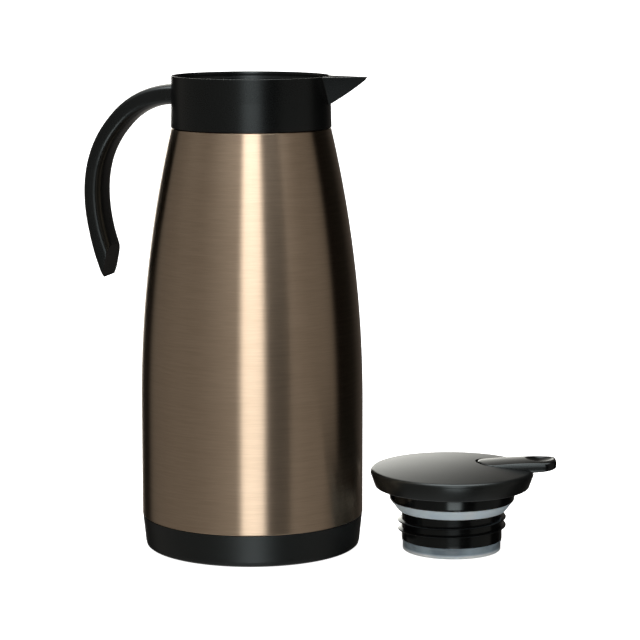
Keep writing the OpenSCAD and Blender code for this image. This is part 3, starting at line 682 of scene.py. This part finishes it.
def plug_parts():
    """The plug with its thread; its wall is left open at the two pouring windows."""
    out_low = rounded([
        (13, 6.9, 0.4), (PLUG_R - 0.1, 6.9, 0.5), (PLUG_R, 7.4), (PLUG_R, 7.8), (PLUG_R, 24.7),
        (PLUG_R, 25.1, 0.3), (31.6, 25.3, 0.3), (35.8, 31.5), (36, 31.7), (38.5, 31.7, 0.4),
        (38.75, 32.3), (38.9, WINDOW_Z[0]), (39.2, WINDOW_Z[1]), (39.4, COVER_Z, 0.2),
        (36.6, COVER_Z, 0.2), (36.6, 37.8), (35.4, 37.8), (35.4, WINDOW_Z[1]), (35.4, WINDOW_Z[0]),
        (35.4, 33.2), (29.6, 25.6, 0.5), (28.6, 24.6, 0.5), (28.6, 9.0, 0.5), (13, 9.0, 0.4),
    ])
    turn = []
    edges = sorted(w + d for w in WINDOW_TURNS for d in (-WINDOW_HALF, WINDOW_HALF))
    for a, b in zip([-180 + 22] + edges, edges + [180 + 22]):
        turn += list(np.linspace(a, b, max(2, int((b - a) / 1.6)) + 1)[:-1])
    turn = np.radians(turn)
    p = np.array(out_low)
    rings = np.stack([np.outer(np.cos(turn), p[:, 0]), np.outer(np.sin(turn), p[:, 0]),
                      np.tile(p[:, 1], (len(turn), 1))], axis=2)
    verts, faces = grid(rings, wrap_rings=True)
    cols = len(p)
    low = [i for i in range(cols) if abs(p[i, 1] - WINDOW_Z[0]) < 1e-6]
    high = [i for i in range(cols) if abs(p[i, 1] - WINDOW_Z[1]) < 1e-6]
    spans = []
    for w in WINDOW_TURNS:
        a = int(np.argmin(np.abs(np.degrees(turn) - (w - WINDOW_HALF))))
        b = int(np.argmin(np.abs(np.degrees(turn) - (w + WINDOW_HALF))))
        spans.append((a, b))
    out_row = min(low[0], high[0])
    in_row = min(low[-1], high[-1])
    keep = []
    for f in faces:
        i, j = divmod(f[0], cols)
        gone = any(a <= i < b for a, b in spans) and j in (out_row, in_row)
        if not gone:
            keep.append(f)
    for a, b in spans:
        for i in range(a, b):
            for o, n in ((low[0], low[-1]), (high[0], high[-1])):
                keep.append((i * cols + o, (i + 1) * cols + o, (i + 1) * cols + n, i * cols + n))
        for i in (a, b):
            keep.append((i * cols + low[0], i * cols + high[0], i * cols + high[-1], i * cols + low[-1]))
    return [(verts, keep), ridge(150, 850, THREAD_Z0, PLUG_R - 0.4, THREAD_R, 1.2, 0.35)]


piece("plug_skin", plug_parts(), "stopper", gloss_black, ["plug_body"], on_table=True)
gasket = [(31.8, 25.4, 0.2), (33.5, 25.4, 0.3), (33.8, 25.7, 0.4), (38, 31.2, 0.5),
          (37.8, 31.6, 0.3), (36.1, 31.6)]
piece("plug_gasket_skin", [revolve(rounded(gasket), 224)], "stopper", silicone, ["plug_gasket"],
      on_table=True)
seal = [(26.8, 0.5, 0.3), (27.3, 0, 0.3), (30, 0, 0.3), (30.5, 0.5, 0.3), (30.5, 5.4, 0.4), (31, 6, 0.3),
        (31, 6.8, 0.3), (22, 6.8, 0.3), (22, 4.8, 0.3), (26.8, 4.8, 0.4)]
piece("bottom_seal_skin", [revolve(rounded(seal), 224)], "stopper", seal_silicone,
      ["bottom_seal"], on_table=True)


SLOT_FLOOR_Z = 47.8


def lever_outline(grow, fine=1):
    """Plan outline of the lever's visible part, widened by grow."""
    nose_x, nose_reach, corner = 25.5, 10.0 + 2 * grow, 8.0
    end_x = LEVER_TIP + grow
    half = LEVER_HALF_W + grow
    straight = [(x, half) for x in np.linspace(nose_x, end_x - corner, 12 * fine)[1:-1]]
    tip = [(end_x - corner + corner * math.cos(a), half - corner + corner * math.sin(a))
           for a in np.radians(np.linspace(90, 0, 18 * fine))]
    nose = [(nose_x + nose_reach * math.cos(a), half * math.sin(a))
            for a in np.radians(np.linspace(-90, -270, 48 * fine))]
    upper = straight + tip
    return nose + upper + [(x, -y) for x, y in upper[::-1]]


def cover_mesh():
    """Domed cover with a rounded brow, an inward-leaning side and the slot for the lever."""
    lean = math.atan(2 * CROWN / COVER_R)
    edge = COVER_R - EDGE_ROUND * (1 - math.sin(lean))
    edge_z = COVER_TOP_Z - EDGE_ROUND * math.cos(lean)
    brow = [(COVER_R - EDGE_ROUND * (1 - math.cos(a)), edge_z + EDGE_ROUND * math.sin(a))
            for a in np.linspace(0.1, math.pi / 2 - lean, 12)]
    dome = [(r, COVER_TOP_Z + CROWN * (1 - (r / edge) ** 2)) for r in np.linspace(edge - 0.8, 0, 44)]
    wall = 2.2
    under = [(r, COVER_TOP_Z - wall + CROWN * (1 - (r / edge) ** 2)) for r in np.linspace(0, edge - wall, 12)]
    profile = rounded([(47.8 - wall, COVER_Z, 0.2), (47.8, COVER_Z, 1.0), (COVER_R - 0.05, edge_z - 0.6),
                       *brow, *dome, *under, (47.8 - 0.6, 46.4, 1.0)])
    return cut([revolve(profile, 256)], [prism(lever_outline(0.6), SLOT_FLOOR_Z, SLOT_FLOOR_Z + 12)])


piece("cover_skin", cover_mesh(), "stopper", charcoal, ["stopper_cover"], on_table=True)


def cover_inside():
    """Skirt that stands on the plug, cheeks that hold the pin, and the floor under the lever's tip."""
    skirt = rounded([(37.7, COVER_Z + 0.05, 0.2), (39.3, COVER_Z + 0.05, 0.2), (39.3, 51.2), (37.7, 51.2)])
    floor = [(42.8, -13.4), (46.6, -13.4), (48.3, -8), (48.9, 0), (48.3, 8), (46.6, 13.4), (42.8, 13.4)]
    cheeks = []
    for sign in (-1, 1):
        y0, y1 = sorted((sign * 12.0, sign * 13.9))
        cheeks.append(prism([(29.5, y0), (43, y0), (43, y1), (29.5, y1)], COVER_Z + 1, 50.6))
    ring = cut([revolve(skirt, 160)], [prism([(30, -11.6), (42, -11.6), (42, 11.6), (30, 11.6)], 38, 55)])
    rest = mesh_of([prism(floor, SLOT_FLOOR_Z - 2, SLOT_FLOOR_Z), *cheeks])
    joined = bpy.data.meshes.new("joined")
    rest.to_mesh(joined)
    rest.free()
    ring.from_mesh(joined)
    bpy.data.meshes.remove(joined)
    return ring


piece("cover_inside", cover_inside(), "stopper", charcoal, on_table=True)


def lever_parts():
    """The thumb lever's visible part: a crowned top with a thumb hollow, rounded into its underside."""
    centre = np.array([40.0, 0.0])
    outline = np.array(lever_outline(0.0, 2))
    angles = np.arctan2(outline[:, 1] - centre[1], outline[:, 0] - centre[0])
    reach = np.hypot(outline[:, 0] - centre[0], outline[:, 1] - centre[1])
    order = np.argsort(angles)
    turn = np.radians(np.arange(0, 360, 1.5)) - math.pi
    radius = np.interp(turn, angles[order], reach[order], period=2 * math.pi)
    dirs = np.stack([np.cos(turn), np.sin(turn)], axis=1)
    top_fit = np.polyfit([14, 22, 30, 40, 50, 58, 63.5], [55.5, 56.2, 56.9, 57.4, 57.7, 57.7, 57.4], 4)
    low_fit = np.polyfit([14, 20, 30, 42, 48, 56, 63.5, 65.4],
                         [50.6, 49.8, 49.5, 49.6, 50.2, 50.8, 51.6, 52.3], 4)
    fillet, low_fillet = 2.0, 1.0

    def top_z(x, y):
        z = np.polyval(top_fit, x) - LEVER_CROWN * (y / LEVER_HALF_W) ** 2
        hollow_x, hollow_z = HOLLOW_AT
        hollow = hollow_z - np.sqrt(np.maximum(HOLLOW_R ** 2 - (x - hollow_x) ** 2 - y ** 2, 0.01))
        return smin(z, hollow, 0.35)

    rings = []
    inner = 1 - fillet / radius
    for u in np.linspace(0.0, 1.0, 56)[1:]:
        r = radius * inner * u
        x, y = centre[0] + dirs[:, 0] * r, dirs[:, 1] * r
        rings.append(np.stack([x, y, top_z(x, y)], axis=1))
    for a in np.radians([18, 36, 54, 72, 90]):
        r = radius - fillet * (1 - math.sin(a))
        x, y = centre[0] + dirs[:, 0] * r, dirs[:, 1] * r
        drop = fillet * (1 - math.cos(a))
        xi, yi = centre[0] + dirs[:, 0] * radius * inner, dirs[:, 1] * radius * inner
        rings.append(np.stack([x, y, top_z(xi, yi) - drop], axis=1))
    for a in np.radians([90, 67, 45, 22, 0]):
        r = radius - low_fillet * (1 - math.sin(a))
        x, y = centre[0] + dirs[:, 0] * r, dirs[:, 1] * r
        rise = low_fillet * (1 - math.cos(a))
        rings.append(np.stack([x, y, np.polyval(low_fit, x) + rise], axis=1))
    for u in np.linspace(1.0, 0.0, 14)[1:-1]:
        r = radius * (1 - low_fillet / radius) * u
        x, y = centre[0] + dirs[:, 0] * r, dirs[:, 1] * r
        rings.append(np.stack([x, y, np.polyval(low_fit, x)], axis=1))
    verts, faces = grid(rings)
    count = len(turn)
    verts = np.concatenate([verts, [[40, 0, float(top_z(np.array(40.0), np.array(0.0)))],
                                    [40, 0, float(np.polyval(low_fit, 40))]]])
    top, low = len(verts) - 2, len(verts) - 1
    last = (len(rings) - 1) * count
    for j in range(count):
        k = (j + 1) % count
        faces.append((top, k, j))
        faces.append((low, last + j, last + k))
    return [(verts, faces)]


piece("lever_skin", lever_parts(), "lever", gloss_black, ["thumb_lever"],
      on_table=True, sharp=40)


def lever_arm():
    """Hinge boss and the forked inner arm under the lever."""
    boss = rounded([(1.6, -11.4, 0.1), (4.2, -11.4, 0.3), (4.2, 11.4, 0.3), (1.6, 11.4, 0.1)])
    lie = Matrix.Translation((PIN_X, 0, PIN_Z)) @ Matrix.Rotation(math.radians(90), 4, "X")
    parts = [turned(revolve(boss, 64), lie)]
    outline = [(38, 50.3), (28, 49.9), (20, 44.9), (2, 43.1), (0.4, 42.4), (2, 41.2), (20, 41.2), (31, 44.2)]
    outline = rounded([(x, z, 0.5) for x, z in outline])
    for sign in (-1, 1):
        parts.append(side_prism([(x, z) for x, z in outline], *sorted((sign * 3.2, sign * 6.5))))
    web = [(34, 50), (28, 49.6), (20, 44.6), (5, 43.2), (5, 41.4), (20, 41.4), (31, 44.4)]
    web = rounded([(x, z, 0.5) for x, z in web])
    parts.append(side_prism([(x, z) for x, z in web], -3.4, 3.4))
    return parts


piece("lever_arm", lever_arm(), "lever", gloss_black, on_table=True)


def spring_parts():
    """Round wire wound from the valve head up to the guide plate."""
    coils, per = 6, 40
    low, high, radius, wire = 13.0, 37.7, 7.4, 0.55
    rings = []
    for i in range(coils * per + 1):
        a = 2 * math.pi * i / per
        t = i / (coils * per)
        z = low + wire + (high - low - 2 * wire) * t
        c, s = math.cos(a), math.sin(a)
        rings.append([((radius + wire * math.cos(b)) * c, (radius + wire * math.cos(b)) * s,
                       z + wire * math.sin(b)) for b in np.radians(np.arange(0, 360, 30))])
    return [grid(rings, caps=True)]


spring = piece("spring_coil", spring_parts(), "stopper", spring_wire, ["valve_spring"],
               on_table=True)
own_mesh(spring)

# ---------------------------------------------------------------- CAD nodes that stay

node_materials = {
    "shell_bottom": plain_steel, "getter": plain_steel, "vacuum_plug": plain_steel, "neck_gasket": silicone,
    "handle_screws": fasteners, "guide_plate": inner_plastic, "guide_screws": fasteners,
    "stem_oring": black_rubber, "lever_pin": fasteners, "valve_stem": fasteners, "valve_head": inner_plastic,
    "valve_seal": silicone, "stem_clip": fasteners,
}
for name, material in node_materials.items():
    for material_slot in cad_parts[name].material_slots:
        material_slot.material = material

# ---------------------------------------------------------------- camera, floor and light

scene = bpy.context.scene
camera_data = bpy.data.cameras.new("camera")
camera_data.lens = 141.7
camera_data.sensor_width = 36.0
camera_data.clip_end = 200.0
camera = bpy.data.objects.new("camera", camera_data)
camera.location = (0.41555, -1.49204, 0.37575)
camera.rotation_euler = (math.radians(81.406), 0.0, math.radians(14.0))
scene.collection.objects.link(camera)
scene.camera = camera

floor_mesh = bpy.data.meshes.new("floor")
bm = bmesh.new()
bmesh.ops.create_grid(bm, x_segments=4, y_segments=4, size=60.0)
bm.to_mesh(floor_mesh)
bm.free()
floor = bpy.data.objects.new("floor", floor_mesh)
scene.collection.objects.link(floor)
floor_look = Nodes("floor_white")
floor_look.set(Base_Color=(0.9, 0.9, 0.9, 1.0), Roughness=0.9, Emission_Color=(1.0, 1.0, 1.0, 1.0),
               Emission_Strength=1.0)
floor.data.materials.append(floor_look.mat)
floor.visible_glossy = False
floor.visible_diffuse = False
floor.visible_shadow = False
floor.visible_transmission = False

KEY = 3.7
CAMERA_TURN = math.degrees(math.atan2(camera.location.y, camera.location.x))


def studio():
    """Light tent: a soft box by the camera, grey sides with dark flags, white behind and above."""
    world = bpy.data.worlds.new("studio")
    scene.world = world
    world.use_nodes = True
    tree = world.node_tree
    tree.nodes.clear()
    out = tree.nodes.new("ShaderNodeOutputWorld")
    back = tree.nodes.new("ShaderNodeBackground")
    tree.links.new(back.outputs[0], out.inputs[0])
    coord = tree.nodes.new("ShaderNodeTexCoord")
    turn = tree.nodes.new("ShaderNodeVectorRotate")
    turn.rotation_type = "Z_AXIS"
    turn.inputs["Angle"].default_value = math.radians(-CAMERA_TURN)
    tree.links.new(coord.outputs["Generated"], turn.inputs["Vector"])
    xyz = tree.nodes.new("ShaderNodeSeparateXYZ")
    tree.links.new(turn.outputs[0], xyz.inputs[0])

    def calc(kind, a, b=None):
        node = tree.nodes.new("ShaderNodeMath")
        node.operation = kind
        for socket, value in zip(node.inputs, (a, b)):
            if value is None:
                continue
            if isinstance(value, (int, float)):
                socket.default_value = value
            else:
                tree.links.new(value, socket)
        return node.outputs[0]

    def ramp(fac, stops):
        node = tree.nodes.new("ShaderNodeValToRGB")
        while len(node.color_ramp.elements) < len(stops):
            node.color_ramp.elements.new(0.5)
        for element, (at, level) in zip(node.color_ramp.elements, stops):
            element.position = at
            element.color = (level, level, level, 1.0)
        tree.links.new(fac, node.inputs[0])
        return node.outputs[0]

    def mix(kind, a, b):
        node = tree.nodes.new("ShaderNodeMix")
        node.data_type = "RGBA"
        node.blend_type = kind
        node.inputs[0].default_value = 1.0
        for socket, value in ((node.inputs[6], a), (node.inputs[7], b)):
            if isinstance(value, tuple):
                socket.default_value = (*value, 1.0)
            else:
                tree.links.new(value, socket)
        return node.outputs[2]

    azimuth = calc("ARCTAN2", xyz.outputs[1], xyz.outputs[0])
    share = calc("ADD", calc("DIVIDE", azimuth, 2 * math.pi), 0.5)
    up = calc("MULTIPLY", calc("ADD", xyz.outputs[2], 1.0), 0.5)

    def at_azimuth(stops):
        """Brightness by angle around, in degrees from the camera's side."""
        return ramp(share, [((a + 180) / 360, v) for a, v in stops])

    def at_height(stops):
        """Brightness by angle above the level, in degrees."""
        return ramp(up, [((math.sin(math.radians(e)) + 1) / 2, v) for e, v in stops])

    sides = at_azimuth([
        (-180, 0.3), (-166, 0.3), (-160, 0.02), (-136, 0.01), (-126, 0.17), (-80, 0.19), (-40, 0.21),
        (-22, 0.25), (-18, 0.2), (16, 0.015), (38, 0.015), (42, 0.21), (80, 0.21), (94, 0.19), (100, 0.006),
        (132, 0.01), (150, 0.05), (168, 0.12), (174, 0.2), (180, 0.3),
    ])
    tinted = mix("MULTIPLY", sides, (1.0, 0.92, 0.84))
    box_width = at_azimuth([(-14, 0.0), (-10, 1.0), (10, 1.0), (13, 0.5), (15, 0.0)])
    box_height = at_height([
        (-36, 0.0), (-32, 0.52), (-21, 0.52), (-18, 0.02), (-12, 0.03), (-8, 0.04), (-4, 0.24),
        (2, 0.28), (18, 0.14), (25, 0.2), (28, 0.66), (38, 0.66), (44, 0.4), (52, 0.1),
    ])
    key = mix("MULTIPLY", mix("MULTIPLY", box_width, box_height), (2 * KEY, 2 * KEY * 0.99, 2 * KEY * 0.98))
    wall_width = at_azimuth([(-180, 0.9), (-166, 1.0), (-161, 0.0), (170, 0.0), (176, 0.6), (180, 0.9)])
    wall_height = at_height([
        (-40, 0.05), (-8, 0.12), (-1, 0.75), (6, 0.78), (12, 0.66), (20, 0.46), (34, 0.22), (50, 0.0),
    ])
    wall = mix("MULTIPLY", mix("MULTIPLY", wall_width, wall_height), (3.0, 3.0, 2.8))
    left_width = at_azimuth([(-176, 0.0), (-150, 0.2), (-115, 0.2), (-90, 0.0)])
    left_top = mix("MULTIPLY", left_width, at_height([(34, 0.0), (46, 1.0)]))
    ceiling = mix("ADD", at_height([(58, 0.0), (70, 1.0)]), left_top)
    overhead = mix("MULTIPLY", ceiling, (4.0, 4.0, 4.0))
    table = mix("MULTIPLY", at_height([(-70, 1.0), (-40, 0.0)]), (0.42, 0.42, 0.42))
    front = mix("ADD", tinted, key)
    rest = mix("ADD", wall, mix("ADD", overhead, table))
    tree.links.new(mix("ADD", front, rest), back.inputs["Color"])
    back.inputs["Strength"].default_value = 1.0
    world.cycles.sampling_method = "MANUAL"
    world.cycles.sample_map_resolution = 1024


studio()
scene.view_settings.view_transform = "Standard"
scene.view_settings.look = "None"
scene.view_settings.exposure = 0.0
scene.view_settings.gamma = 1.0
